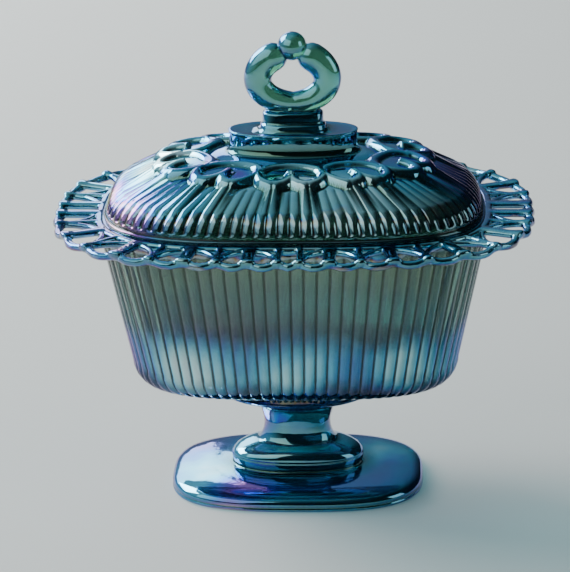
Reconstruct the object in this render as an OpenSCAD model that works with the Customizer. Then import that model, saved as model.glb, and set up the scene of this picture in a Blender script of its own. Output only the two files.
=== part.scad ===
// Covered, footed candy bowl in pressed glass, in millimetres.
// +X runs along the long way of the bowl, +Z is up, and the foot rests on z = 0.
// The bowl, its open lace border, its stem and its foot are one pressing.
// The lid, its relief band and its ring-shaped finial are the other.

/* [Foot and stem] */
// Length of the foot
foot_l = 101.8; // [90:1:110]
// Width of the foot
foot_w = 75; // [64:0.1:78]
// Height of the foot's edge
foot_edge_h = 5.8; // [4:0.1:6.5]
// Length of the raised cushion on the foot
cushion_l = 53.4; // [50:0.1:56]
// Width of the raised cushion on the foot
cushion_w = 31.4; // [30:0.1:35]
// Length of the stem where it is thinnest
stem_l = 26.8; // [23:0.1:28]
// Width of the stem where it is thinnest
stem_w = 18.8; // [17:0.1:20]

/* [Bowl] */
// Height of the bowl's underside
bowl_z = 45.3; // [44:0.1:47]
// Height of the ledge that carries the lid
ledge_z = 115.8; // [112:0.1:119]
// Length of the bowl across its wall, at the ledge
rim_l = 154.4; // [148:0.1:160]
// Width of the bowl across its wall, at the ledge
rim_w = 104.4; // [99:0.1:110]
// How far the wall leans in from the ledge to its lower corner
wall_lean = 11.8; // [10:0.1:13]
// Radius of the lower corner
corner_r = 11.4; // [9:0.1:14]
// Height of the top of the stem, where the bowl's funnel ends
stem_top_z = 33.4; // [32:0.1:34.5]
// Thickness of the wall
wall_t = 3.8; // [3.2:0.1:4.4]
// Upright ribs around the wall
bowl_ribs = 84; // [72:4:96]
// Depth of the grooves between the ribs
groove_d = 0.7; // [0.3:0.1:0.9]

/* [Lace border] */
// How far the lace stands out from the wall
lace_reach = 17.8; // [15:0.1:20]
// Thickness of the lace
lace_t = 4.4; // [3:0.1:5]
// Rise of the lace's bars above its rails
bar_rise = 0.9; // [0:0.1:1.5]
// Depth of the scallops along its outer edge
scallop_d = 1.4; // [0.5:0.1:2]
// Half the width of the narrow opening in the middle of each long side
middle_half = 4; // [3:0.1:5]

/* [Lid] */
// Length of the lid's flange
lid_l = 149.6; // [146:0.1:150]
// Width of the lid's flange
lid_w = 101.2; // [97:0.1:101.5]
// Height of the dome above the flange
dome_h = 20; // [18:0.1:22]
// Radiating ribs around the dome
lid_ribs = 92; // [80:4:96]
// Height of the relief band's strands above the dome
relief_h = 2.2; // [1:0.1:2.5]
// Two-lobed loops in the relief band
loops = 10; // [8:2:12]
// Length of the plateau under the finial
plateau_l = 51; // [46:0.1:56]
// Width of the plateau under the finial
plateau_w = 23.6; // [20:0.1:26]
// Height of the plateau's wall
plateau_h = 10.5; // [9:0.1:12]

/* [Finial] */
// Width of the ring
ring_w = 38.8; // [34:0.1:40]
// Depth of the ring, front to back
ring_depth = 9.4; // [8:0.1:11]
// Diameter of the ball on top
ball_d = 11.4; // [10:0.1:12]

/* [Hidden] */

seat_gap = 0.05;       // between the ledge and the lid's flange
lip_gap = 0.6;         // between the mouth and the lid's locating lip
rim_n = 3.1;           // squareness of the rim's outline; 2 is an ellipse
foot_n = 2.9;          // squareness of the foot's outline
stem_n = 2.2;          // squareness of the stem's outline
floor_t = 5;           // thickness of the bowl's floor
lip_depth = 3;         // how far the lid's lip reaches into the mouth
lid_t = 3.6;           // thickness of the dome

lobes = 40;            // openings in the lace
lobe_cols = 6;         // columns of points in each opening's share of the lace
lace_cols = lobes * lobe_cols;
wall_cols = 2 * bowl_ribs;
dome_cols = 2 * lid_ribs;
band_cols = 20 * loops;
plain_cols = 64;       // columns on the smooth inner surfaces
stem_cols = 48;

rim_a = rim_l / 2;
rim_b = rim_w / 2;
mouth_a = rim_a - 6.2;
mouth_b = rim_b - 6.2;
flange_a = lid_l / 2;
flange_b = lid_w / 2;
flange_z = ledge_z + seat_gap;
dome_z = flange_z + 1.6;
plateau_z = dome_z + dome_h + plateau_h;

// --- Outlines -------------------------------------------------------------

// A rounded oval of half-length a and half-width b at direction t, squarer as n grows.
function oval(a, b, n, t) =
    let (k = pow(pow(abs(cos(t)), n) + pow(abs(sin(t)), n), -1 / n))
    [a * k * cos(t), b * k * sin(t)];

function signed_pow(v, e) = sign(v) * pow(abs(v), e);

// The outward direction of that oval at its point p.
function outward(a, b, n, p) =
    let (g = [signed_pow(p.x / a, n - 1) / a, signed_pow(p.y / b, n - 1) / b])
    g / norm(g);

// Distance along the rim's outline, from the middle of the front, against direction.
steps = 720;
function rim_pt(t) = oval(rim_a, rim_b, rim_n, t);
travel = [for (i = 0, s = 0; i <= steps;
               s = s + norm(rim_pt(-90 + (i + 1) * 360 / steps) - rim_pt(-90 + i * 360 / steps)),
               i = i + 1)
          [s, -90 + i * 360 / steps]];
rim_length = travel[steps][0];
function direction_at(s) = lookup(s, travel);

// Directions of count points spread evenly along the rim.
function even(count) = [for (i = [0:count - 1]) direction_at(i * rim_length / count)];
wall_dirs = even(wall_cols);
dome_dirs = even(dome_cols);
band_dirs = even(band_cols);
plain_dirs = even(plain_cols);
stem_dirs = even(stem_cols);

// A level ring of points; every second point sits in a groove of the given depth.
function ring(a, b, n, z, dirs, groove = 0) =
    [for (i = [0:len(dirs) - 1])
        let (p = oval(a, b, n, dirs[i]), q = p - groove * (i % 2) * outward(a, b, n, p))
        [q.x, q.y, z]];

// --- Skins between rings --------------------------------------------------

// Index of each ring's first point in the joined list.
function starts(rings) =
    [for (i = 0, s = 0; i < len(rings); s = s + len(rings[i]), i = i + 1) s];

function all_points(rings) = [for (r = rings) for (p = r) p];

// Triangles between ring A (first index a0, count na) and the next ring B, of any counts.
function band(a0, na, b0, nb) =
    [for (i = [0:na - 1])
        let (here = floor((i + 0.5) * nb / na + 0.5), before = floor((i - 0.5) * nb / na + 0.5))
        each concat(
            [[a0 + i, a0 + (i + 1) % na, b0 + here % nb]],
            [for (j = [before:1:here - 1]) [a0 + i, b0 + (j + 1 + nb) % nb, b0 + (j + nb) % nb]])];

// Cells of the lace's web: solid where a bar runs, open between the bars.
function is_bar(i) = i % lobe_cols == 0 || i % lobe_cols == lobe_cols - 1;

function web(a0, b0, n) =
    [for (i = [0:n - 1]) if (is_bar(i))
        each [[a0 + i, a0 + (i + 1) % n, b0 + (i + 1) % n], [a0 + i, b0 + (i + 1) % n, b0 + i]]];

// Upright walls of the openings, between a top rail edge and the bottom rail edge under it.
function opening_rail(top, bottom, n, flip) =
    [for (i = [0:n - 1]) if (!is_bar(i))
        let (q = [top + i, top + (i + 1) % n, bottom + (i + 1) % n, bottom + i])
        each [flip ? [q[0], q[2], q[1]] : [q[0], q[1], q[2]],
              flip ? [q[0], q[3], q[2]] : [q[0], q[2], q[3]]]];

// The two sides of each opening, where its bars start.
function opening_sides(r1, r2, r5, r6, n) =
    [for (k = [0:lobes - 1])
        let (i = k * lobe_cols + 1, j = k * lobe_cols + lobe_cols - 1)
        each [[r1 + i, r6 + i, r5 + i], [r1 + i, r5 + i, r2 + i],
              [r1 + j, r5 + j, r6 + j], [r1 + j, r2 + j, r5 + j]]];

// --- Footed bowl ----------------------------------------------------------

// Pedestal rings, from the bowl's collar down to the hollow under the foot.
cushion_z = foot_edge_h + 1.6;
pedestal = [
    [40, 24, stem_n, bowl_z - 2],
    [33, 22.6, stem_n, bowl_z - 4.9],
    [28.5, 19.5, stem_n, stem_top_z + 4.2],
    [23, 16, stem_n, stem_top_z + 2.7],
    [17, 12.6, stem_n, stem_top_z + 1.2],
    [stem_l / 2 + 2.2, stem_w / 2 + 1.8, stem_n, stem_top_z],
    [stem_l / 2 + 1.4, stem_w / 2 + 1.2, stem_n, stem_top_z - 2.4],
    [stem_l / 2 + 0.4, stem_w / 2 + 0.4, stem_n, stem_top_z - 4.6],
    [stem_l / 2, stem_w / 2, stem_n, stem_top_z - 7.9],
    [stem_l / 2 + 0.3, stem_w / 2 + 0.3, stem_n, cushion_z + 15.1],
    [stem_l / 2 + 0.9, stem_w / 2 + 0.9, stem_n, cushion_z + 13.2],
    [stem_l / 2 + 1.8, stem_w / 2 + 1.6, stem_n, cushion_z + 11.4],
    [stem_l / 2 + 3.8, stem_w / 2 + 2.9, stem_n, cushion_z + 10],
    [cushion_l / 2 - 6.7, cushion_w / 2 - 2.1, stem_n, cushion_z + 9.2],
    [cushion_l / 2 - 3.9, cushion_w / 2 - 1, stem_n, cushion_z + 8.2],
    [cushion_l / 2 - 1.6, cushion_w / 2 - 0.4, stem_n, cushion_z + 6.8],
    [cushion_l / 2 - 0.4, cushion_w / 2 - 0.1, stem_n, cushion_z + 5.2],
    [cushion_l / 2, cushion_w / 2, stem_n, cushion_z + 4],
    [cushion_l / 2 - 0.2, cushion_w / 2 - 0.2, stem_n, cushion_z + 2.4],
    [cushion_l / 2 - 1.4, cushion_w / 2 - 1.4, stem_n, cushion_z],
    [foot_l / 2 - 9, foot_w / 2 - 8, foot_n, foot_edge_h + 1.2],
    [foot_l / 2 - 2.2, foot_w / 2 - 2.2, foot_n, foot_edge_h],
    [foot_l / 2, foot_w / 2, foot_n, foot_edge_h - 2],
    [foot_l / 2, foot_w / 2, foot_n, 1],
    [foot_l / 2 - 1, foot_w / 2 - 1, foot_n, 0],
    [foot_l / 2 - 8, foot_w / 2 - 8, foot_n, 0],
    [foot_l / 2 - 12, foot_w / 2 - 12, foot_n, 1.8],
    [12, 9, foot_n, 3]];

// Wall rings, outside, from the ledge down to the underside.
wall_foot = [rim_a - wall_lean, rim_b - wall_lean, bowl_z + corner_r];
wall_outside = concat(
    [[rim_a, rim_b, ledge_z - lace_t - 0.6], wall_foot],
    [for (f = [20:20:80])
        [wall_foot.x - corner_r * (1 - cos(f)), wall_foot.y - corner_r * (1 - cos(f)),
         wall_foot.z - corner_r * sin(f)]],
    [[wall_foot.x - corner_r, wall_foot.y - corner_r, bowl_z]]);

// Cavity rings, from its floor up to the mouth.
cavity_r = corner_r - wall_t;
cavity_foot = [wall_foot.x - wall_t, wall_foot.y - wall_t, bowl_z + floor_t + cavity_r];
cavity = concat(
    [for (f = [90:-22.5:0])
        [cavity_foot.x - cavity_r * (1 - cos(f)), cavity_foot.y - cavity_r * (1 - cos(f)),
         cavity_foot.z - cavity_r * sin(f)]],
    [[mouth_a - 0.4, mouth_b - 0.4, ledge_z - lip_depth - 2], [mouth_a, mouth_b, ledge_z]]);

// The lace: where each bar crosses the rim, then columns of points between the bars.
bar_pitch = (rim_length / 2 - 2 * middle_half) / (lobes / 2 - 1);
function bar_at(k) = (k < lobes / 2 ? k : k - lobes / 2) * bar_pitch
    + (k < lobes / 2 ? 0 : rim_length / 2) + middle_half;
function lobe_start(k) = k < lobes ? bar_at(k) : bar_at(0) + rim_length;
function wrapped(s) = s < rim_length ? s : s - rim_length;
lace_dirs = [for (k = [0:lobes - 1]) for (c = [0:lobe_cols - 1])
    direction_at(wrapped(lobe_start(k) + (lobe_start(k + 1) - lobe_start(k)) * c / lobe_cols))];

// Share of the opening's length at each column, from a bar's middle to the next bar's middle.
open_share = [0.5, 0.5, 0.86, 0.92, 0.86, 0.5];
rail_w = 2.4;          // width of the lace's inner and outer rails
function lace_row(reach, share, z, lift, scallop) =
    [for (i = [0:lace_cols - 1])
        let (c = i % lobe_cols, bar = 1 - sin(180 * c / lobe_cols),
             p = rim_pt(lace_dirs[i]), u = outward(rim_a, rim_b, rim_n, p),
             middle = lace_reach / 2, half = (middle - rail_w) * open_share[c],
             d = share == 0 ? reach - scallop * bar : middle + share * half,
             q = p + d * u)
        [q.x, q.y, z + lift * bar]];

lace_top = ledge_z;
lace_bottom = ledge_z - lace_t;
lace_rows = [
    lace_row(0, 0, lace_top, 0, 0),
    lace_row(0, -1, lace_top, bar_rise, 0),
    lace_row(0, 1, lace_top, bar_rise, 0),
    lace_row(lace_reach - 0.8, 0, lace_top - 0.2, bar_rise, scallop_d),
    lace_row(lace_reach, 0, lace_top - 1.4, bar_rise, scallop_d),
    lace_row(lace_reach - 0.6, 0, lace_bottom, 0, scallop_d),
    lace_row(0, 1, lace_bottom, 0, 0),
    lace_row(0, -1, lace_bottom, 0, 0),
    lace_row(0, 0, lace_bottom, 0, 0)];

module footed_bowl() {
    inside = [for (r = cavity) ring(r.x, r.y, rim_n, r.z, plain_dirs)];
    outside = [for (r = wall_outside) ring(r.x, r.y, rim_n, r.z, wall_dirs, groove_d)];
    below = [for (r = pedestal) ring(r[0], r[1], r[2], r[3], stem_dirs)];
    rings = concat(inside, lace_rows, outside, below);
    first = starts(rings);
    lace0 = len(inside);              // the lace's first row
    webs = [lace0 + 1, lace0 + 6];    // bands that the openings pass through
    skin = [for (k = [0:len(rings) - 2]) each
        (k == webs[0] || k == webs[1])
            ? web(first[k], first[k + 1], lace_cols)
            : band(first[k], len(rings[k]), first[k + 1], len(rings[k + 1]))];
    row = [for (k = [0:8]) first[lace0 + k]];
    openings = concat(
        opening_rail(row[1], row[7], lace_cols, false),
        opening_rail(row[2], row[6], lace_cols, true),
        opening_sides(row[1], row[2], row[6], row[7], lace_cols));
    last = len(rings) - 1;
    caps = [[for (i = [len(rings[0]) - 1:-1:0]) i],
            [for (i = [0:len(rings[last]) - 1]) first[last] + i]];
    color([0.1, 0.38, 0.46])
        polyhedron(points = all_points(rings), faces = concat(skin, openings, caps), convexity = 10);
}

// --- Lid ------------------------------------------------------------------

// Dome outline at lift f, from 0 at the flange to 90 at the plateau: [a, b, n, z].
dome_a = flange_a - 0.8;
dome_b = flange_b - 0.8;
function dome(f, in = 0) =
    [plateau_l / 2 + (dome_a - plateau_l / 2) * cos(f) - in * cos(f),
     plateau_w / 2 + (dome_b - plateau_w / 2) * cos(f) - in * cos(f),
     2.6 + (rim_n - 2.6) * cos(f),
     dome_z + dome_h * sin(f) - in * sin(f)];

// The relief band lies between these half-lengths and half-widths.
band_in = [plateau_l / 2 + 2, plateau_w / 2 + 2];
band_out = [55.5, 35.5];
band_n = 2.4;

// Lift f at which the dome is as far out, in a given direction, as the point p.
lifts = [for (i = [0:30]) 90 - 3 * i];
function dome_height(p) =
    let (t = atan2(p.y, p.x))
    lookup(norm(p), [for (f = lifts)
        let (d = dome(f), k = pow(pow(abs(cos(t)) / d[0], d[2]) + pow(abs(sin(t)) / d[1], d[2]), -1 / d[2]))
        [k, d[3]]]);

// Height of the strands, as a share of relief_h, at place u (0 to 1 round one loop) and
// v (0 inside, 1 outside): one arch over the loop, two lobes outside it and a bar between them.
strand = 0.11;
function ridge(gap) = max(0, 1 - pow(gap / strand, 2));
function relief(u, v) =
    let (x = 2 * u - 1, y = v - 0.7,
         arch = y < 0 ? 0.55 * abs(norm([x / 0.92, y / 0.58]) - 1) : 1,
         lobe = y < 0 ? 1 : 0.2 * abs(norm([(abs(x) - 0.46) / 0.46, y / 0.2]) - 1),
         bar = 0.5 * abs(x) + max(0, -0.2 - y) + max(0, y - 0.15))
    max(ridge(arch), ridge(lobe), ridge(bar));

band_shares = [0, 0.08, 0.18, 0.29, 0.4, 0.51, 0.62, 0.73, 0.83, 0.92, 1];
function band_row(v) =
    [for (i = [0:band_cols - 1])
        let (a = band_in.x + v * (band_out.x - band_in.x), b = band_in.y + v * (band_out.y - band_in.y),
             p = oval(a, b, band_n, band_dirs[i]),
             u = (i / band_cols * loops + 0.5) % 1,
             rise = (v == 0 || v == 1) ? 0 : relief_h * relief(u, v))
        [p.x, p.y, dome_height(p) + rise]];

module lid() {
    lip_a = mouth_a - lip_gap;
    lip_b = mouth_b - lip_gap;
    under = concat(
        [for (f = [88, 70, 52, 36, 20, 8]) let (d = dome(f, lid_t))
            ring(d[0], d[1], d[2], d[3], plain_dirs)],
        [ring(lip_a - 3, lip_b - 3, rim_n, flange_z - lip_depth, plain_dirs),
         ring(lip_a - 0.4, lip_b - 0.4, rim_n, flange_z - lip_depth, plain_dirs),
         ring(lip_a, lip_b, rim_n, flange_z, plain_dirs)]);
    edge = [ring(flange_a, flange_b, rim_n, flange_z, dome_dirs),
            ring(flange_a, flange_b, rim_n, dome_z - 0.4, dome_dirs),
            ring(dome_a, dome_b, rim_n, dome_z, dome_dirs)];
    ribbed = [for (f = [6, 18, 28]) let (d = dome(f)) ring(d[0], d[1], d[2], d[3], dome_dirs, groove_d)];
    relief_rows = [for (v = band_shares) band_row(1 - v)];
    top = [for (r = [
            [plateau_l / 2 + 0.4, plateau_w / 2 + 0.4, dome_z + dome_h + 1.5],
            [plateau_l / 2, plateau_w / 2, plateau_z - 0.8],
            [plateau_l / 2 - 0.5, plateau_w / 2 - 0.5, plateau_z],
            [13.8, 8, plateau_z - 0.3],
            [13, 7.1, plateau_z + 2.6],
            [12, 6.2, plateau_z + 3.2],
            [12, 6.2, plateau_z + 7]]) ring(r.x, r.y, 2.6, r.z, stem_dirs)];
    upward = concat(under, edge, ribbed, relief_rows, top);
    rings = [for (k = [len(upward) - 1:-1:0]) upward[k]];
    first = starts(rings);
    last = len(rings) - 1;
    skin = [for (k = [0:last - 1]) each
        band(first[k], len(rings[k]), first[k + 1], len(rings[k + 1]))];
    caps = [[for (i = [len(rings[0]) - 1:-1:0]) i],
            [for (i = [0:len(rings[last]) - 1]) first[last] + i]];
    color([0.08, 0.3, 0.45]) {
        polyhedron(points = all_points(rings), faces = concat(skin, caps), convexity = 10);
        finial();
    }
}

// --- Finial ---------------------------------------------------------------

// The ring is one tube that is open at the top, where its rounded ends hold the ball.
ring_bottom = plateau_z + 6.4;
tube_bottom_r = 4.2;
tube_side_r = 5.8;
ring_mid = ring_w / 2 - tube_side_r;
ring_half_h = 10.1;
ring_open = 36;        // half the angle of the opening at the top
tube_sides = 16;
tube_rings = 28;
ball_rise = 4.45;      // from the ends of the ring up to the ball's middle

function tube_centre(g) =
    [ring_mid * sin(g) * (1 + 0.06 * cos(g)), ring_bottom + tube_bottom_r + ring_half_h * (1 - cos(g))];
function tube_r(g) = tube_bottom_r + (tube_side_r - tube_bottom_r) * pow(abs(sin(g / 2)), 0.6);

// Ring of the tube round its centre line at angle g, shrunk and pushed on by an angle e
// where the tube's rounded ends close.
function tube_ring(g, e) =
    let (c = tube_centre(g), d = tube_centre(g + 0.5) - tube_centre(g - 0.5),
         u = d / norm(d), side = [-u.y, u.x], r = tube_r(g), m = c + r * sin(e) * u)
    [for (k = [0:tube_sides - 1])
        let (w = 360 * k / tube_sides, reach = r * cos(e) * cos(w))
        [m.x + reach * side.x, ring_depth / 2 * sin(w) * cos(e) * r / tube_side_r, m.y + reach * side.y]];

module finial() {
    sweep_end = 180 - ring_open;
    ends = [25, 50, 72];
    rings = concat(
        [for (k = [len(ends) - 1:-1:0]) tube_ring(-sweep_end, -ends[k])],
        [for (i = [0:tube_rings]) tube_ring(-sweep_end + 2 * sweep_end * i / tube_rings, 0)],
        [for (e = ends) tube_ring(sweep_end, e)]);
    first = starts(rings);
    last = len(rings) - 1;
    skin = [for (k = [0:last - 1]) each band(first[k], tube_sides, first[k + 1], tube_sides)];
    caps = [[for (i = [tube_sides - 1:-1:0]) i], [for (i = [0:tube_sides - 1]) first[last] + i]];
    polyhedron(points = all_points(rings), faces = concat(skin, caps), convexity = 4);
    translate([0, 0, tube_centre(sweep_end).y + ball_rise]) sphere(d = ball_d, $fn = 40);
}

footed_bowl();
lid();
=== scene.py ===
# Looks for the covered, footed candy bowl: two pressed-glass pieces built as dense meshes
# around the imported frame, with an iridescent glass material, a pale floor and soft light.
import math

import bpy
import numpy as np
from mathutils import Matrix, Vector


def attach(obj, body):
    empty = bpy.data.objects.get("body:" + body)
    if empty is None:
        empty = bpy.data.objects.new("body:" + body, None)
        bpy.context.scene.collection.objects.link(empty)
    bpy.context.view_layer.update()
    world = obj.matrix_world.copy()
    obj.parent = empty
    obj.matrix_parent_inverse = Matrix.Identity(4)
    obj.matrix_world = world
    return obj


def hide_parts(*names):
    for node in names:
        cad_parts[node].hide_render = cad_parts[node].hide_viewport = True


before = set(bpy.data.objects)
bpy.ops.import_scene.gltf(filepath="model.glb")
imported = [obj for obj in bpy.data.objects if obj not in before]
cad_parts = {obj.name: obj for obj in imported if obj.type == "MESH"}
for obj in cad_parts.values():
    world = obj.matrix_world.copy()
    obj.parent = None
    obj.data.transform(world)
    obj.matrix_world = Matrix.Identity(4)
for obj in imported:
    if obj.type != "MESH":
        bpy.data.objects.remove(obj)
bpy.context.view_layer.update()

MM = 0.001

# --- Sizes in millimetres -----------------------------------------------------
# Half sizes come as (x, y); rings come as half sizes, squareness and height.

RIM = (77.2, 52.2, 3.1)     # top edge of the wall, with its squareness
MOUTH = (71.0, 46.0)        # opening that the lid's lip drops into
LEDGE_Z = 115.8             # flat that the lid rests on
REACH = 17.8                # how far the lace stands out from the rim
LACE_BOTTOM = 111.4
LACE_BARS = 40
BOWL_Z = 45.3               # underside of the bowl
BOWL_RIBS = 84
BOWL_RIB_DEPTH = 1.1

FLANGE_Z = 115.85           # underside of the lid's flange
DOME_Z = 117.45
DOME_H = 20.0
DOME = (74.0, 49.8)
PLATEAU = (25.5, 11.8)
LID_RIBS = 92
LID_RIB_DEPTH = 1.15
LOOPS = 10                  # loops in the relief band

RIB_POINTS = 8              # points round a ring for each rib
RIB_POWER = 0.65            # below 1 the grooves are narrower than the ribs
GRID = 0.5                  # step of the lace's grid, round and across
GRID_UP = 0.45


# --- Rings ----------------------------------------------------------------------

def oval(a, b, n, t):
    """Rounded oval of half sizes a and b at direction t; squarer as n grows."""
    c, s = np.cos(t), np.sin(t)
    k = (np.abs(c) ** n + np.abs(s) ** n) ** (-1.0 / n)
    return np.stack([a * k * c, b * k * s], -1)


def outward(a, b, n, p):
    """Unit normals of such an oval at its points p."""
    g = np.stack([np.sign(p[..., 0]) * (np.abs(p[..., 0]) / a) ** (n - 1) / a,
                  np.sign(p[..., 1]) * (np.abs(p[..., 1]) / b) ** (n - 1) / b], -1)
    return g / np.linalg.norm(g, axis=-1, keepdims=True)


# Distance along the rim from the middle of the front, against direction.
T_TABLE = np.linspace(-90, 270, 14401) * math.pi / 180
P_TABLE = oval(*RIM, T_TABLE)
S_TABLE = np.r_[0, np.cumsum(np.linalg.norm(np.diff(P_TABLE, axis=0), axis=1))]
LENGTH = S_TABLE[-1]


def direction(s):
    """Direction in radians at distance s along the rim."""
    return np.interp(s % LENGTH, S_TABLE, T_TABLE)


def even(count):
    """Directions that are evenly spaced along the rim."""
    return direction(np.arange(count) * LENGTH / count)


def smooth(x):
    """Eased step from 0 to 1."""
    x = np.clip(x, 0, 1)
    return x * x * (3 - 2 * x)


def level(a, b, n, z, dirs, inset=None):
    """A level ring of points, drawn in by inset along its outward normal."""
    p = oval(a, b, n, dirs)
    if inset is not None:
        p = p - inset[:, None] * outward(a, b, n, p)
    return np.column_stack([p, np.full(len(p), float(z))])


def rib_profile(count, points, depth):
    """Inset round a ring for rounded ribs with narrow grooves between them."""
    x = (np.arange(points) * count / points) % 1
    return depth * (1 - np.abs(np.sin(math.pi * x)) ** RIB_POWER)


# --- Meshes -----------------------------------------------------------------------

def skin(rings):
    """Closed faces over a stack of rings of any counts, with both ends capped."""
    pts, faces, first = [], [], []
    total = 0
    for r in rings:
        first.append(total)
        pts.append(r)
        total += len(r)
    for k in range(len(rings) - 1):
        na, nb, a0, b0 = len(rings[k]), len(rings[k + 1]), first[k], first[k + 1]
        if na == nb:
            faces += [(a0 + i, a0 + (i + 1) % na, b0 + (i + 1) % na, b0 + i) for i in range(na)]
            continue
        for i in range(na):
            here = math.floor((i + 0.5) * nb / na + 0.5)
            before = math.floor((i - 0.5) * nb / na + 0.5)
            faces.append((a0 + i, a0 + (i + 1) % na, b0 + here % nb))
            faces += [(a0 + i, b0 + (j + 1) % nb, b0 + j % nb) for j in range(before, here)]
    for ring0, r, flip in ((first[0], rings[0], True), (first[-1], rings[-1], False)):
        pts.append(r.mean(0)[None])
        n = len(r)
        for i in range(n):
            a, b = ring0 + i, ring0 + (i + 1) % n
            faces.append((b, a, total) if flip else (a, b, total))
        total += 1
    return np.vstack(pts), faces


def volume(pts, faces):
    v = 0.0
    for f in faces:
        p0 = pts[f[0]]
        for i in range(1, len(f) - 1):
            v += np.dot(p0, np.cross(pts[f[i]], pts[f[i + 1]]))
    return v / 6


def mesh_object(name, pts, faces):
    """An object from points in mm, with its faces turned outwards."""
    if volume(pts, faces) < 0:
        faces = [tuple(reversed(f)) for f in faces]
    mesh = bpy.data.meshes.new(name)
    mesh.from_pydata((pts * MM).tolist(), [], faces)
    mesh.update()
    obj = bpy.data.objects.new(name, mesh)
    bpy.context.scene.collection.objects.link(obj)
    return obj


def nets(field):
    """Surface of a field that is negative inside, round a grid that wraps in its first way.
    Returns points in grid steps and four-sided faces."""
    ns, nd, nz = field.shape
    g = np.concatenate([field, field[:1]], 0)
    shape = (ns, nd - 1, nz - 1)

    # one point for each cell that the surface passes through, amid its crossings
    acc = np.zeros(shape + (3,))
    count = np.zeros(shape)
    for axis in range(3):
        others = [k for k in range(3) if k != axis]
        for u in (0, 1):
            for v in (0, 1):
                o = [0, 0, 0]
                o[others[0]], o[others[1]] = u, v
                e = list(o)
                e[axis] = 1
                fa = g[o[0]:o[0] + ns, o[1]:o[1] + nd - 1, o[2]:o[2] + nz - 1]
                fb = g[e[0]:e[0] + ns, e[1]:e[1] + nd - 1, e[2]:e[2] + nz - 1]
                cross = (fa < 0) != (fb < 0)
                t = np.where(cross, fa / np.where(cross, fa - fb, 1), 0)
                for k in range(3):
                    acc[..., k] += np.where(cross, o[k] + (t if k == axis else 0), 0)
                count += cross
    used = count > 0
    index = -np.ones(shape, int)
    index[used] = np.arange(used.sum())
    pts = np.argwhere(used) + acc[used] / count[used][:, None]

    # one face for each grid line that the surface cuts
    faces = []
    i, j, k = np.nonzero((g[:-1, 1:-1, 1:-1] < 0) != (g[1:, 1:-1, 1:-1] < 0))
    j, k = j + 1, k + 1
    faces.append(((index[i, j - 1, k - 1], index[i, j, k - 1], index[i, j, k],
                   index[i, j - 1, k]), g[i, j, k] < 0))
    i, j, k = np.nonzero((field[:, :-1, 1:-1] < 0) != (field[:, 1:, 1:-1] < 0))
    k, h = k + 1, (i - 1) % ns
    faces.append(((index[h, j, k - 1], index[h, j, k], index[i, j, k],
                   index[i, j, k - 1]), field[i, j, k] < 0))
    i, j, k = np.nonzero((field[:, 1:-1, :-1] < 0) != (field[:, 1:-1, 1:] < 0))
    j, h = j + 1, (i - 1) % ns
    faces.append(((index[h, j - 1, k], index[i, j - 1, k], index[i, j, k],
                   index[h, j, k]), field[i, j, k] < 0))
    out = []
    for corners, inside in faces:
        q = np.stack(corners, 1)
        out.append(np.where(inside[:, None], q, q[:, ::-1]))
    return pts, [tuple(q) for q in np.vstack(out).tolist()]


def unite(obj, other):
    """Joins two closed meshes into one solid and keeps it in obj."""
    m = obj.modifiers.new("join", "BOOLEAN")
    m.operation = "UNION"
    m.solver = "MANIFOLD"
    m.object = other
    deps = bpy.context.evaluated_depsgraph_get()
    merged = bpy.data.meshes.new_from_object(obj.evaluated_get(deps))
    obj.modifiers.clear()
    obj.data = merged
    bpy.data.objects.remove(other)
    return obj


# --- Footed bowl ------------------------------------------------------------------

OUTER_RAIL = REACH - 1.7    # middle of the outer rail at its furthest out
OUTER_HALF = 1.7            # half widths of the two rails
INNER_HALF = 1.8
SCALLOP = 1.4               # how far the outer rail is drawn in at each bar
END_GAP = 4.0               # half the gap between the two runs of bars, at front and back
ARCH_TOP = REACH - 2.4      # where the arches meet the outer rail
ARCH_HALF = 1.2
BLEND = 5.0                 # sharpness of the joins between strands
# sections of the strands: middle height, half height and squareness
OUTER_SECTION = (113.1, 1.55, 2.3)
INNER_SECTION = (114.1, 1.75, 3.0)
WIDE_SECTION = (114.5, 1.45, 2.6)
NARROW_SECTION = (114.4, 1.4, 2.2)
ARCH_SECTION = (114.2, 1.25, 2.2)


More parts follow.
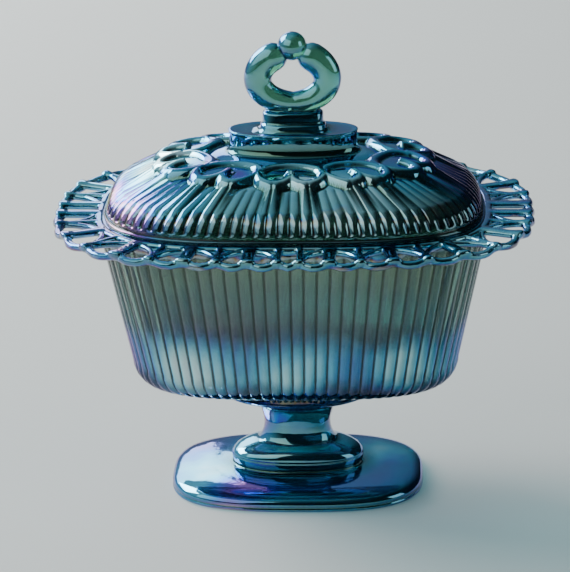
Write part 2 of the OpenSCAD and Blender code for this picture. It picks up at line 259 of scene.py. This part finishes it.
def lace():
    """The pierced border: two rails, wide and narrow bars and arches between them."""
    ns = int(round(LENGTH / GRID))
    s = np.arange(ns) * LENGTH / ns
    d = np.arange(-3.4, REACH + 1.2, GRID)
    z = np.arange(LACE_BOTTOM - 1.1, 117.9, GRID_UP)

    per_side = LACE_BARS // 2
    pitch = (LENGTH / 2 - 2 * END_GAP) / (LACE_BARS / 2 - 1)
    bars = np.array([h + END_GAP + k * pitch for h in (0, LENGTH / 2) for k in range(per_side)])

    # the grid is wider where the rim turns
    u = outward(*RIM, oval(*RIM, direction(s)))
    turn = np.linalg.norm(np.roll(u, -1, 0) - np.roll(u, 1, 0), axis=1) / (2 * LENGTH / ns)
    S, D = np.meshgrid(s, d, indexing="ij")
    stretch = 1 + np.outer(turn, np.maximum(d, 0))
    gap = (S[..., None] - bars + LENGTH / 2) % LENGTH - LENGTH / 2
    bump = smooth(1 - np.abs(gap).min(-1) / 5.0)
    fields = []

    def strand(across, section, raised=0.0):
        """Adds a strand, where across is 1 at its sides and raised lifts its middle."""
        middle, half, power = section
        middle = middle + raised + 0 * D
        up = (np.abs(z[None, None, :] - middle[..., None]) / half) ** power
        fields.append(across[..., None] ** power + up - 1)

    strand(np.abs(D - (OUTER_RAIL - SCALLOP * bump)) / OUTER_HALF, OUTER_SECTION, 0.7 * bump)
    strand(np.abs(D + 0.75) / INNER_HALF, INNER_SECTION)

    # the bars flare towards both rails and end inside them
    outer = smooth((D - (REACH - 7)) / 5)
    inner = smooth((4.0 - D) / 4)
    over = np.maximum(D - (REACH - 1.8), 0) / 1.2 + np.maximum(-D, 0)
    arch_foot = 1.0
    rise = ARCH_TOP - arch_foot
    for k in range(LACE_BARS):
        g = gap[..., k]
        place = k % per_side
        if min(place, per_side - 1 - place) % 2 == 1:
            w = 2.5 + 0.5 * outer + 0.4 * inner
            strand(np.hypot(np.abs(g) * stretch / w, over), WIDE_SECTION, 0.4 * outer)
            continue
        w = 1.25 + 0.9 * outer + 0.3 * inner
        strand(np.hypot(np.abs(g) * stretch / w, over), NARROW_SECTION, 0.5 * outer)
        for side in (-1, 1):
            if place == (0 if side < 0 else per_side - 1):
                continue    # no arch over the gap at front and back
            x = 1 - side * g / pitch
            y = (ARCH_TOP - D) / rise
            r = np.hypot(x, y)
            slope = np.hypot(x / (pitch * stretch), y / rise) / np.maximum(r, 1e-6)
            dist = np.abs(r - 1) / np.maximum(slope, 1e-6)
            beyond = (np.maximum(-x, 0) * 8 + np.maximum(x - 1.05, 0) * 12
                      + np.maximum(-y - 0.02, 0) * 8)
            strand(dist / ARCH_HALF + beyond, ARCH_SECTION)

    # smooth union, clipped so that far strands count for nothing
    total = np.zeros(fields[0].shape)
    for f in fields:
        total += np.exp(-BLEND * np.minimum(f, 8))
    pts, faces = nets(-np.log(total) / BLEND)
    base = oval(*RIM, direction(pts[:, 0] * LENGTH / ns))
    q = base + (d[0] + pts[:, 1] * GRID)[:, None] * outward(*RIM, base)
    return np.column_stack([q, z[0] + pts[:, 2] * GRID_UP]), faces


CAVITY = (61.6, 36.6)       # at the top of the rounded corner round its floor
CAVITY_TOP = (70.6, 45.6, 110.8)
CORNER = 7.6                # its radius
FLOOR_Z = BOWL_Z + 5
LEAN = 11.8                 # how far the wall leans in on its way down
TURN = 11.4                 # radius of the lower corner outside
WALL_TOP = 112.6            # under the lace
RIBS_START = 112.2
RIBS_FADE = 2.0             # height over which the ribs reach their full depth

# growth on the mouth, and height, from inside the mouth over the ledge
LEDGE = [(-0.15, 113.5), (0, 114.9), (0.15, 115.4), (0.5, 115.72), (1.0, LEDGE_Z),
         (3.4, LEDGE_Z), (4.2, 115.6), (5.0, 114.6), (5.6, 113.4)]
# under the bowl, where the ribs die away: ring, then share of the ribs
BELLY = [(50, 30.5, 2.8, BOWL_Z - 0.4, 1.1), (45, 27.4, 2.6, BOWL_Z - 1.0, 1.0),
         (40, 24.6, 2.5, BOWL_Z - 1.9, 0.7), (36, 22.6, 2.4, BOWL_Z - 2.8, 0.2)]
STEM = [(33, 22.6, BOWL_Z - 4.7), (30.6, 21.1, 38.9), (28.2, 19.4, 37.6), (25.6, 17.7, 36.7),
        (22.6, 15.8, 35.9), (19.4, 14.0, 35.2), (17.0, 12.6, 34.5), (15.7, 11.5, 33.6),
        (15.1, 10.9, 32.5), (14.6, 10.4, 31.0), (14.0, 9.9, 29.2), (13.5, 9.5, 27.2),
        (13.35, 9.4, 25.3), (13.5, 9.5, 23.4), (13.9, 9.9, 21.6), (14.5, 10.4, 20.1),
        (15.2, 11.0, 18.9), (15.9, 11.6, 18.1), (16.7, 12.1, 17.65), (18.2, 12.8, 17.2),
        (20.0, 13.6, 16.6), (22.8, 14.7, 15.6), (25.1, 15.35, 14.2), (26.2, 15.6, 12.8),
        (26.4, 15.6, 12.3), (26.35, 15.5, 12.0), (26.6, 15.6, 11.7), (26.65, 15.65, 11.3),
        (26.55, 15.5, 10.0), (26.2, 15.1, 8.9), (25.7, 14.6, 8.2)]
STEM_N = 2.3                # squareness of the stem and the cushion
FOOT = [(25.8, 14.7, 2.35, 7.7), (27, 16, 2.5, 7.4), (33, 24, 2.75, 7.2), (40, 28.4, 2.9, 6.95),
        (45, 32.2, 2.9, 6.5), (47.6, 34.2, 2.9, 5.95), (49.3, 35.8, 2.9, 5.2),
        (50.3, 36.8, 2.9, 4.2), (50.75, 37.3, 2.9, 3.0), (50.65, 37.2, 2.9, 2.2),
        (50.4, 36.95, 2.9, 1.8), (50.75, 37.3, 2.9, 1.4), (50.85, 37.4, 2.9, 0.8),
        (50.5, 37.05, 2.9, 0.25), (49.9, 36.4, 2.9, 0.0), (43.4, 30.0, 2.9, 0.0),
        (42.2, 28.8, 2.9, 0.3), (38.8, 25.4, 2.9, 1.8), (24, 15, 2.9, 2.6), (12, 9, 2.6, 3.0)]


def footed_bowl():
    wall = even(BOWL_RIBS * RIB_POINTS)
    plain = even(336)
    low = even(192)
    ribs = rib_profile(BOWL_RIBS, len(wall), BOWL_RIB_DEPTH)
    rings = []

    # cavity, from its floor up to the mouth
    a, b = CAVITY
    corner_z = FLOOR_Z + CORNER
    for share in (0.3, 0.75):
        rings.append(level((a - CORNER) * share, (b - CORNER) * share, 2.6, FLOOR_Z, plain))
    for f in np.arange(90, -1, -15) * math.pi / 180:
        drop = CORNER * (1 - math.cos(f))
        rings.append(level(a - drop, b - drop, RIM[2], corner_z - CORNER * math.sin(f), plain))
    for z in (70, 85, 100, 110.5):
        k = (z - corner_z) / (CAVITY_TOP[2] - corner_z)
        rings.append(level(a + (CAVITY_TOP[0] - a) * k, b + (CAVITY_TOP[1] - b) * k, RIM[2], z,
                           plain))
    for grow, z in LEDGE:
        rings.append(level(MOUTH[0] + grow, MOUTH[1] + grow, RIM[2], z, plain))

    # outside, from under the lace down to the lower corner and in under the bowl
    turn_z = BOWL_Z + TURN
    for z in (WALL_TOP, 111.2, 110.2, 104, 92, 80, 68, turn_z):
        k = (WALL_TOP - z) / (WALL_TOP - turn_z)
        share = smooth((RIBS_START - z) / RIBS_FADE)
        rings.append(level(RIM[0] - LEAN * k, RIM[1] - LEAN * k, RIM[2], z, wall, ribs * share))
    for f in np.arange(12, 91, 13) * math.pi / 180:
        drop = TURN * (1 - math.cos(f))
        rings.append(level(RIM[0] - LEAN - drop, RIM[1] - LEAN - drop, RIM[2],
                           turn_z - TURN * math.sin(f), wall, ribs))
    for a, b, n, z, share in BELLY:
        rings.append(level(a, b, n, z, wall, ribs * share))

    for a, b, z in STEM:
        rings.append(level(a, b, STEM_N, z, low))
    for a, b, n, z in FOOT:
        rings.append(level(a, b, n, z, low))
    return unite(mesh_object("bowl_glass", *skin(rings)), mesh_object("lace", *lace()))


# --- Lid ----------------------------------------------------------------------------

def dome(f, inset=0.0):
    """Half sizes, squareness and height of the dome at lift f in degrees."""
    c, s = math.cos(math.radians(f)), math.sin(math.radians(f))
    return (PLATEAU[0] + (DOME[0] - PLATEAU[0]) * c - inset * c,
            PLATEAU[1] + (DOME[1] - PLATEAU[1]) * c - inset * c,
            2.6 + 0.5 * c, DOME_Z + (DOME_H - inset) * s)


def dome_height(p):
    """Height of the plain dome above the points p."""
    t = np.arctan2(p[:, 1], p[:, 0])
    reach, height = [], []
    for f in np.arange(90, -0.1, -1.5):
        a, b, n, z = dome(f)
        reach.append((np.abs(np.cos(t) / a) ** n + np.abs(np.sin(t) / b) ** n) ** (-1 / n))
        height.append(z)
    reach, r = np.array(reach), np.hypot(p[:, 0], p[:, 1])
    return np.array([np.interp(r[i], reach[:, i], height) for i in range(len(r))])


LOOP_HALF = 12.0            # half width of a loop
ARCH = (15.5, 8.4)          # place and height of a loop's arch, out across the band
LOBE = (15.7, 6.1)          # the same for its two lobes
LOBE_FROM = 14.2            # the lobes are drawn from here out
PLATE = 1.1                 # height of the plate inside a loop
ARCH_STRAND = (2.5, 2.7)    # half width and height of the strands
LOBE_STRAND = (2.6, 3.1)
FAR = 99                    # stands for no strand near


def relief(x, y):
    """Height of the strands at x along a loop and y out across the band."""

    def ring_gap(cx, cy, rx, ry):
        e = np.hypot((x - cx) / rx, (y - cy) / ry)
        slope = np.hypot((x - cx) / rx ** 2, (y - cy) / ry ** 2) / np.maximum(e, 1e-6)
        return np.abs(e - 1) / np.maximum(slope, 1e-6)

    lobe_x = np.where(x < 0, -1, 1) * LOOP_HALF / 2
    arch = np.where(y < ARCH[0], ring_gap(0, ARCH[0], LOOP_HALF - 0.6, ARCH[1]), FAR)
    lobes = np.where(y > LOBE_FROM, ring_gap(lobe_x, LOBE[0], LOOP_HALF / 2, LOBE[1]), FAR)
    inside = np.where(y < ARCH[0], np.hypot(x / LOOP_HALF, (y - ARCH[0]) / ARCH[1]),
                      np.hypot((x - lobe_x) / (LOOP_HALF / 2), (y - LOBE[0]) / LOBE[1]))
    out = PLATE * smooth((1.05 - inside) / 0.12)
    for gap, (width, height) in ((arch, ARCH_STRAND), (lobes, LOBE_STRAND)):
        out = np.maximum(out, height * np.clip(1 - (gap / width) ** 2, 0, 1) ** 0.62)
    return out


LID_WALL = 3.6
LIP_CLEARANCE = 0.6
# growth on the mouth less its clearance, and height, round the lip
LIP = [(-3.2, 113.4), (-2.8, 112.95), (-2.2, 112.86), (-0.9, 112.86), (-0.35, 113.1),
       (-0.1, 113.6), (0.0, 115.5), (0.15, 115.82), (0.4, FLANGE_Z)]
FLANGE = (74.8, 50.6)
FLANGE_EDGE = [(-1.2, FLANGE_Z), (-0.3, 115.95), (0, 116.25), (0, 116.6), (-0.15, 117.05),
               (-0.5, 117.35)]
BAND = (56.5, 36.3)         # outer edge of the relief band
BAND_WIDTH = 24.0
BAND_N = 2.4
HUMP, HUMP_SHARE = 1.6, 0.34    # rise at the plateau's foot, over this share of the band
LOOP_MIN = 20.0             # a loop is never drawn narrower than this
PLATEAU_SIDE = [(25.4, 11.8, 140.2), (25.1, 11.5, 141.8), (25.0, 11.4, 144.0),
                (25.05, 11.45, 146.0), (25.3, 11.65, 147.0), (25.5, 11.8, 147.5),
                (25.45, 11.75, 147.8), (25.1, 11.4, 147.92), (24.2, 10.8, 147.85),
                (22.8, 10.0, 147.7), (18, 9.2, 147.6), (15.0, 8.7, 147.65)]
PLATEAU_N = 2.25
NECK = [(13.9, 8.2, 147.9), (13.2, 7.6, 148.5), (12.9, 7.3, 149.3), (12.8, 7.1, 150.1),
        (12.5, 6.8, 150.5), (12.1, 6.3, 150.9), (11.9, 6.1, 151.6), (11.9, 6.1, 154.4),
        (11.6, 5.8, 155.0), (10.9, 5.2, 155.4), (5, 3, 155.6)]
NECK_N = 2.9


def lid_body():
    cols = even(LID_RIBS * RIB_POINTS)
    plain = even(184)
    rings = []
    for f in (89, 80, 70, 60, 50, 40, 30, 20, 12, 6):
        rings.append(level(*dome(f, LID_WALL), plain))
    a, b = MOUTH[0] - LIP_CLEARANCE, MOUTH[1] - LIP_CLEARANCE
    for grow, z in LIP:
        rings.append(level(a + grow, b + grow, RIM[2], z, plain))
    for grow, z in FLANGE_EDGE:
        rings.append(level(FLANGE[0] + grow, FLANGE[1] + grow, RIM[2], z, plain))

    ribs = rib_profile(LID_RIBS, len(cols), LID_RIB_DEPTH)
    for f in (0.2, 2, 4, 5, 6, 7.5, 9, 12, 15, 18, 21, 24, 27, 29.5):
        a, b, n, z = dome(f)
        tuck = 0.2 * (f < 1)
        share = smooth((f - 3.5) / 3.0) * (1 - 0.5 * smooth((f - 24) / 6))
        rings.append(level(a - tuck, b - tuck, n, z, cols, ribs * share))

    # relief band, from its outer edge in to the foot of the plateau; u is the place along
    # each loop, from its middle
    inner = (PLATEAU[0] + 0.9, PLATEAU[1] + 0.9)
    u = (np.arange(len(cols)) / len(cols) * LOOPS + 0.5) % 1 - 0.5
    for v in np.linspace(1, 0, 56):
        p = oval(inner[0] + v * (BAND[0] - inner[0]), inner[1] + v * (BAND[1] - inner[1]),
                 BAND_N, cols)
        step = np.linalg.norm(np.roll(p, -1, 0) - np.roll(p, 1, 0), axis=1).mean() / 2
        lift = relief(u * max(step * len(cols) / LOOPS, LOOP_MIN), v * BAND_WIDTH)
        hump = HUMP * smooth((HUMP_SHARE - v) / HUMP_SHARE)
        rib_left = ribs * 0.35 * smooth((v - 0.9) / 0.1)
        rings.append(np.column_stack([p, dome_height(p) + np.maximum(lift, hump) - rib_left]))

    for a, b, z in PLATEAU_SIDE:
        rings.append(level(a, b, PLATEAU_N, z, plain))
    for a, b, z in NECK:
        rings.append(level(a, b, NECK_N, z, plain))
    return mesh_object("lid_glass", *skin(rings))


RING_Z = 154.35             # underside of the finial's ring
RING_HALF = (13.6, 10.1)    # half sizes to the middle of its tube
TUBE_THIN = 4.2             # radius of the tube at the bottom
TUBE_SWELL = 1.6            # how much fatter it is at its ends
TUBE_FAT = 5.8              # radius there
TUBE_DEPTH = 4.7            # half size of the fat tube from front to back
OPEN_TOP = 36.0             # degrees left open on each side of the top
WIDER_BELOW = 0.06
BALL = 5.7
BALL_RISE = 4.45            # middle of the ball above the tube's ends


def circle(count):
    return np.arange(count) * 2 * math.pi / count


def finial():
    """One tube bent into a ring whose fat arms curl in to a ball."""
    end = math.radians(180 - OPEN_TOP)

    def centre(g):
        return np.array([RING_HALF[0] * math.sin(g) * (1 + WIDER_BELOW * math.cos(g)),
                         RING_Z + TUBE_THIN + RING_HALF[1] * (1 - math.cos(g))])

    def tube(g, e):
        """A ring of the tube at angle g; e rounds its ends off."""
        c, d = centre(g), centre(g + 0.01) - centre(g - 0.01)
        d = d / np.linalg.norm(d)
        side = np.array([-d[1], d[0]])
        r = TUBE_THIN + TUBE_SWELL * abs(math.sin(g / 2)) ** 0.6
        m = c + r * math.sin(e) * d
        w = circle(40)
        x = r * math.cos(e) * np.cos(w)
        y = TUBE_DEPTH * np.sin(w) * math.cos(e) * r / TUBE_FAT
        return np.column_stack([m[0] + x * side[0], y, m[1] + x * side[1]])

    rings = [tube(-end, math.radians(e)) for e in (-80, -65, -45, -22)]
    rings += [tube(g, 0) for g in np.linspace(-end, end, 73)]
    rings += [tube(end, math.radians(e)) for e in (22, 45, 65, 80)]
    ring = mesh_object("ring", *skin(rings))

    ball_z = centre(end)[1] + BALL_RISE
    w = circle(48)
    stack = []
    for e in np.linspace(-85, 85, 25) * math.pi / 180:
        stack.append(np.column_stack([BALL * math.cos(e) * np.cos(w),
                                      BALL * math.cos(e) * np.sin(w),
                                      np.full(len(w), ball_z + BALL * math.sin(e))]))
    return unite(ring, mesh_object("ball", *skin(stack)))


bowl = footed_bowl()
lid = unite(lid_body(), finial())
for obj in (bowl, lid):
    obj.data.polygons.foreach_set("use_smooth", [True] * len(obj.data.polygons))
    print(obj.name, len(obj.data.polygons), "faces")


# --- Glass ------------------------------------------------------------------------

RAMP_TOP = 190.0            # height in mm at the end of the ramps
BLACK = (0, 0, 0, 1)
GLASS_IOR = 1.5
FILM_IOR = 2.1
FILM_NM = 185               # thickness of the clear film where its strength is 1
GLOSS = 0.015               # roughness of the clear glass
RIPPLE, RIPPLE_DEPTH = 0.15, 0.0005     # strength, and depth in metres
DARKEN = 0.9                # how far the painted shade in grooves and at edges goes towards black
SHADOW = (0.72, 0.87, 0.89, 1)
PATCH_FILM = 0.3            # share of metallic film that a patch adds, as painted sheen

# the metallic film's colour as it thickens
FILM = [(0.05, (0.84, 0.96, 0.98)), (0.22, (0.50, 0.90, 0.95)), (0.36, (0.16, 0.62, 0.88)),
        (0.50, (0.08, 0.26, 0.78)), (0.62, (0.22, 0.12, 0.66)), (0.74, (0.58, 0.20, 0.66)),
        (0.86, (0.92, 0.46, 0.58)), (0.97, (0.98, 0.76, 0.36))]
# Colours of the bowl's glass up its height; the dark blue and purple-brown at 42 to 47 mm, round
# the underside, is painted shade, and the cyan at 54 to 64 mm is a painted sheen on the lower wall.
BOWL_TINTS = [(2, (0.05, 0.16, 0.24)), (16, (0.05, 0.18, 0.26)), (30, (0.06, 0.26, 0.34)),
              (42, (0.05, 0.06, 0.30)), (47, (0.12, 0.08, 0.16)), (54, (0.32, 0.36, 0.40)),
              (64, (0.46, 0.66, 0.66)), (80, (0.52, 0.58, 0.44)), (108, (0.50, 0.56, 0.40)),
              (112, (0.06, 0.16, 0.26))]
# The band of film at 58 to 68 mm on the lower wall is a painted sheen.
BOWL_FILMS = [(2, 0.30, 0.62, 1), (38, 0.30, 0.60, 1), (44, 0.10, 0.45, 0), (52, 0.10, 0.40, 0),
              (58, 0.40, 0.50, 0), (68, 0.34, 0.50, 0), (76, 0.05, 0.40, 0), (109, 0.04, 0.40, 0),
              (113, 0.26, 0.50, 1)]
# Spots where the film's hue is shifted and more film is laid on: painted sheen and highlight
# colours, on a film whose hue does vary. Each is a centre in mm, a radius in mm and a change of
# hue.
BOWL_PATCHES = [((-22, -30, 9), 24, 0.28), ((36, 8, 9), 14, -0.03), ((-14, -8, 28), 13, 0.12),
                ((1, -12, 23), 10, 0.16), ((-40, -42, 60), 26, -0.26), ((2, -46, 60), 24, -0.14),
                ((45, -42, 60), 20, -0.14)]
LID_TINTS = [(116, (0.08, 0.20, 0.13)), (124, (0.10, 0.24, 0.18)), (134, (0.10, 0.26, 0.30)),
             (152, (0.10, 0.26, 0.30)), (159, (0.12, 0.36, 0.20)), (186, (0.12, 0.36, 0.20))]
LID_FILMS = [(117, 0.08, 0.25, 0), (123, 0.16, 0.36, 0), (127, 0.34, 0.56, 1),
             (134, 0.40, 0.62, 1), (150, 0.34, 0.60, 1), (154, 0.24, 0.40, 1),
             (186, 0.24, 0.40, 1)]
# Spots of painted highlight colour and sheen on the lid, given the same way.
LID_PATCHES = [((-76, -8, 117), 19, 0.42), ((-62, -34, 117), 20, 0.24), ((-50, -6, 136), 22, -0.30),
               ((58, 0, 126), 34, 0.10), ((28, -38, 124), 26, -0.14), ((-20, -27, 141), 9, 0.40),
               ((4, -32, 139), 12, -0.10)]


def glass(name, tints, films, patches, absorb, density):
    """Tinted glass under an iridescent metallic film. The stops of tints and films run up the
    height in mm; films hold the share of film on upright and on upward faces and the strength of a
    clear film; each patch is a centre in mm, a radius in mm and a change of the film's hue, and
    lays on more film round it as painted sheen."""
    mat = bpy.data.materials.new(name)
    mat.use_nodes = True
    nt = mat.node_tree
    nt.nodes.clear()

    def feed(socket, value):
        if isinstance(value, bpy.types.NodeSocket):
            nt.links.new(value, socket)
        else:
            socket.default_value = value

    def node(kind, **values):
        made = nt.nodes.new(kind)
        for key, value in values.items():
            feed(made.inputs[key.replace("_", " ")], value)
        return made

    def noise(scale, detail):
        return node("ShaderNodeTexNoise", Vector=place, Scale=scale, Detail=detail).outputs["Fac"]

    def sums(kind, *values):
        made = nt.nodes.new("ShaderNodeMath")
        made.operation = kind
        for socket, value in zip(made.inputs, values):
            feed(socket, value)
        return made.outputs[0]

    def spread(value, lo, hi, to_lo, to_hi, kind="LINEAR"):
        made = node("ShaderNodeMapRange", Value=value)
        made.interpolation_type = kind
        for key, number in (("From Min", lo), ("From Max", hi), ("To Min", to_lo),
                            ("To Max", to_hi)):
            made.inputs[key].default_value = number
        return made.outputs["Result"]

    def ramp(value, stops):
        made = node("ShaderNodeValToRGB", Fac=value)
        el = made.color_ramp.elements
        el[0].position, el[0].color = stops[0][0], (*stops[0][1], 1)
        el[1].position, el[1].color = stops[-1][0], (*stops[-1][1], 1)
        for x, c in stops[1:-1]:
            el.new(x).color = (*c, 1)
        return made.outputs["Color"]

    def mix(factor, a, b):
        made = nt.nodes.new("ShaderNodeMix")
        made.data_type = "RGBA"
        for key, value in ((0, factor), (6, a), (7, b)):
            feed(made.inputs[key], value)
        return made.outputs[2]

    def blend(factor, a, b):
        made = nt.nodes.new("ShaderNodeMixShader")
        for socket, value in zip(made.inputs, (factor, a.outputs[0], b.outputs[0])):
            feed(socket, value)
        return made

    geo = nt.nodes.new("ShaderNodeNewGeometry")
    place = geo.outputs["Position"]
    up = node("ShaderNodeSeparateXYZ", Vector=geo.outputs["Normal"]).outputs["Z"]
    z_place = node("ShaderNodeSeparateXYZ", Vector=place).outputs["Z"]
    height = spread(z_place, 0, RAMP_TOP / 1000, 0, 1)
    cloud, streak, ripple = noise(22, 3), noise(60, 2), noise(170, 2)
    zone = sums("ADD", height, spread(streak, 0.25, 0.75, -0.018, 0.018))
    facing = node("ShaderNodeLayerWeight", Blend=0.4).outputs["Facing"]

    # the film's colour runs from silver through blue and magenta to gold as it thickens
    hue = sums("MULTIPLY_ADD", facing, 0.45, spread(up, -0.2, 1.0, 0.36, 0.12))
    hue = sums("ADD", hue, spread(cloud, 0.3, 0.7, -0.12, 0.26))
    # painted sheen: each patch shifts the film's hue and adds film share round its centre
    painted_sheen = 0.0
    for centre, radius, change in patches:
        far = nt.nodes.new("ShaderNodeVectorMath")
        far.operation = "DISTANCE"
        feed(far.inputs[0], place)
        far.inputs[1].default_value = [c / 1000 for c in centre]
        near = spread(far.outputs["Value"], 0.2 * radius / 1000, radius / 1000, 1, 0, "SMOOTHSTEP")
        hue = sums("MULTIPLY_ADD", near, change, hue)
        painted_sheen = sums("MULTIPLY_ADD", near, PATCH_FILM, painted_sheen)

    # painted shade: the glass's colour goes darker in its grooves, found from pointiness, and at
    # its edges as they turn away from view
    groove_shade = spread(geo.outputs["Pointiness"], 0.472, 0.503, 1.0, 0.0)
    edge = spread(facing, 0.28, 0.88, 0.0, 0.9)
    painted_shade = sums("MAXIMUM", groove_shade, edge)
    tint = ramp(zone, [(z / RAMP_TOP, c) for z, c in tints])
    film_rows = ramp(zone, [(z / RAMP_TOP, row) for z, *row in films])
    layers = node("ShaderNodeSeparateColor", Color=film_rows)
    side, top, strength = (layers.outputs[key] for key in ("Red", "Green", "Blue"))
    bump = node("ShaderNodeBump", Strength=RIPPLE, Distance=RIPPLE_DEPTH,
                Height=ripple).outputs["Normal"]
    clear = node("ShaderNodeBsdfPrincipled", Base_Color=mix(painted_shade, tint, mix(DARKEN, tint, BLACK)),
                 IOR=GLASS_IOR, Transmission_Weight=1.0, Roughness=GLOSS, Normal=bump,
                 Thin_Film_Thickness=sums("MULTIPLY", strength, FILM_NM), Thin_Film_IOR=FILM_IOR)
    film = node("ShaderNodeBsdfPrincipled", Base_Color=ramp(hue, FILM), Metallic=1.0,
                Roughness=spread(streak, 0.3, 0.7, 0.03, 0.12), Normal=bump)

    upward = spread(up, 0.05, 0.75, 0, 1)
    share = sums("ADD", sums("MULTIPLY_ADD", sums("SUBTRACT", top, side), upward, side), painted_sheen)
    share = sums("MULTIPLY", share, spread(cloud, 0.3, 0.7, 1.2, 0.75))
    share = sums("MULTIPLY", share, spread(facing, 0.0, 1.0, 0.8, 1.5))
    # painted shade: the film is mostly taken out of the grooves, so that they show as dark lines
    share = sums("MULTIPLY", share, spread(groove_shade, 0.0, 1.0, 1.0, 0.05))

    # lamps shine through it with a tint, so that it casts a soft coloured shadow
    see = node("ShaderNodeBsdfTransparent", Color=SHADOW)
    shadow_ray = nt.nodes.new("ShaderNodeLightPath").outputs["Is Shadow Ray"]
    surface = blend(shadow_ray, blend(share, clear, film), see)
    vol = node("ShaderNodeVolumeAbsorption", Color=absorb + (1,), Density=density)
    node("ShaderNodeOutputMaterial", Surface=surface.outputs[0], Volume=vol.outputs[0])
    return mat


bowl_mat = glass("bowl_pressed", BOWL_TINTS, BOWL_FILMS, BOWL_PATCHES, (0.12, 0.46, 0.48), 70)
lid_mat = glass("lid_pressed", LID_TINTS, LID_FILMS, LID_PATCHES, (0.08, 0.42, 0.44), 90)
for obj, node, body, slot, mat in ((bowl, "footed_bowl", "bowl", "bowl_glass", bowl_mat),
                                   (lid, "lid", "lid", "lid_glass", lid_mat)):
    obj.data.materials.clear()
    obj.data.materials.append(mat)
    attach(obj, body)
    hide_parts(node)


# --- Floor, light and camera ----------------------------------------------------------

FLOOR_HALF = 4
GROUND_Z = -0.0002          # just under the foot
floor_mesh = bpy.data.meshes.new("floor")
floor_mesh.from_pydata([(x * FLOOR_HALF, y * FLOOR_HALF, GROUND_Z)
                        for x, y in ((-1, -1), (1, -1), (1, 1), (-1, 1))], [], [(0, 1, 2, 3)])
floor = bpy.data.objects.new("floor", floor_mesh)
bpy.context.scene.collection.objects.link(floor)
paper = bpy.data.materials.new("floor_paper")
paper.use_nodes = True
paper_look = paper.node_tree.nodes["Principled BSDF"].inputs
paper_look["Base Color"].default_value = (0.70, 0.69, 0.66, 1)
paper_look["Roughness"].default_value = 0.8
floor_mesh.materials.append(paper)

# a room that is bright towards the upper left and dim towards the right
SKY = (0.60, 0.87, 1.0, 1)
BRIGHT_SIDE = (-0.78, 0.34, 0.52)
DIM, BRIGHT = 0.02, 0.62
world = bpy.data.worlds.new("world")
bpy.context.scene.world = world
world.use_nodes = True
wt = world.node_tree
coords = wt.nodes.new("ShaderNodeTexCoord")
lean = wt.nodes.new("ShaderNodeVectorMath")
lean.operation = "DOT_PRODUCT"
lean.inputs[1].default_value = BRIGHT_SIDE
wt.links.new(coords.outputs["Generated"], lean.inputs[0])
fade = wt.nodes.new("ShaderNodeMapRange")
fade.interpolation_type = "SMOOTHSTEP"
for key, number in (("From Min", 0.0), ("From Max", 1.0), ("To Min", DIM), ("To Max", BRIGHT)):
    fade.inputs[key].default_value = number
wt.links.new(lean.outputs["Value"], fade.inputs["Value"])
wt.nodes["Background"].inputs["Color"].default_value = SKY
wt.links.new(fade.outputs["Result"], wt.nodes["Background"].inputs["Strength"])


def area(name, place, target, size, power, color=(1, 1, 1)):
    """A rectangular lamp at place, turned to target, in metres and watts."""
    light = bpy.data.lights.new(name, "AREA")
    light.shape = "RECTANGLE"
    light.size, light.size_y = size
    light.energy = power
    light.color = color
    obj = bpy.data.objects.new(name, light)
    bpy.context.scene.collection.objects.link(obj)
    obj.location = place
    obj.rotation_euler = (Vector(target) - Vector(place)).to_track_quat("-Z", "Y").to_euler()


area("sky_left", (-1.6, 0.9, 1.3), (0, 0, 0.1), (1.5, 1.2), 76, (0.92, 0.98, 1.0))
area("low_left", (-0.66, 1.25, 0.57), (-0.02, 0, 0.1), (1.1, 0.45), 6, (0.95, 0.98, 1.0))
area("front_left", (-1.4, -1.3, 1.5), (0, 0, 0.1), (2.4, 1.8), 13)
area("right", (2.0, -0.5, 0.8), (0, 0, 0.1), (1.0, 1.2), 5)

# the camera, fitted to the outlines in the photo; angles in radians, places in metres
AZIMUTH, ELEVATION, ROLL = math.radians(2.5), math.radians(18.97), math.radians(-0.9)
DISTANCE = 1.3
AIM_RIGHT, AIM_UP = -0.00418, 0.08245
FOCAL_PX, LONG_SIDE_PX = 3256.3, 572
SENSOR = 36
back = np.array([math.sin(AZIMUTH) * math.cos(ELEVATION),
                 -math.cos(AZIMUTH) * math.cos(ELEVATION), math.sin(ELEVATION)])
right = np.array([math.cos(AZIMUTH), math.sin(AZIMUTH), 0.0])
up = np.cross(back, right)
eye = right * AIM_RIGHT + np.array([0, 0, AIM_UP]) + back * DISTANCE
rolled_right = right * math.cos(ROLL) + up * math.sin(ROLL)
rolled_up = -right * math.sin(ROLL) + up * math.cos(ROLL)
cam_data = bpy.data.cameras.new("camera")
cam_data.sensor_fit = "AUTO"
cam_data.sensor_width = SENSOR
cam_data.lens = FOCAL_PX * SENSOR / LONG_SIDE_PX
cam_data.clip_start = 0.01
cam = bpy.data.objects.new("camera", cam_data)
bpy.context.scene.collection.objects.link(cam)
axes = np.column_stack([rolled_right, rolled_up, back, eye])
cam.matrix_world = Matrix(axes.tolist() + [[0, 0, 0, 1]])
bpy.context.scene.camera = cam
